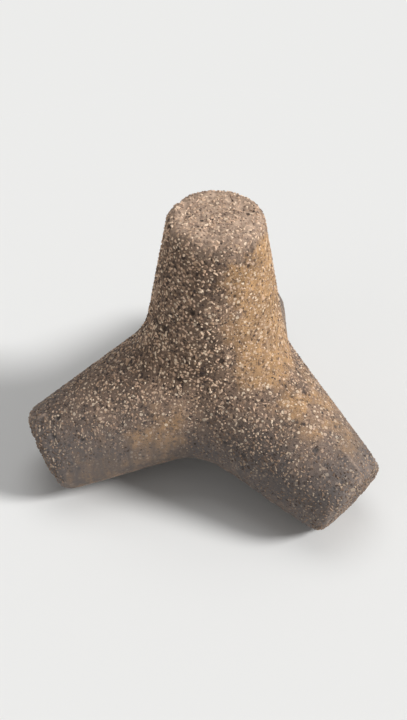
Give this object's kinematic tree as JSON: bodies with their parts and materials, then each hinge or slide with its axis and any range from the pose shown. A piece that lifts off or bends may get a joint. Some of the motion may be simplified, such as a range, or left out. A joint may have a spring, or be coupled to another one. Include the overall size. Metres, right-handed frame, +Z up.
{
  "type": "concrete tetrapod",
  "caption": "Concrete sea-defence block whose tapered round legs point to the corners of a tetrahedron, so that piled blocks interlock and break up waves on a breakwater.",
  "frame": {"origin": "on the ground, straight below the point where the axes of all the legs meet, which is on the upright leg's axis", "axes": "+Z up along the upright leg's axis, towards its end; +Y the way the back lower leg points, seen from above; +X to the right, between the right lower leg and the gap next to it"},
  "size_m": [1.7404, 1.5596, 1.4432],
  "materials": {
    "concrete": "sea-worn plain concrete: cream, tan and grey pebbles proud of a brown eroded mortar, with dark pits"
  },
  "bodies": {
    "root": {"tetrapod": "concrete"}
  },
  "joints": []
}
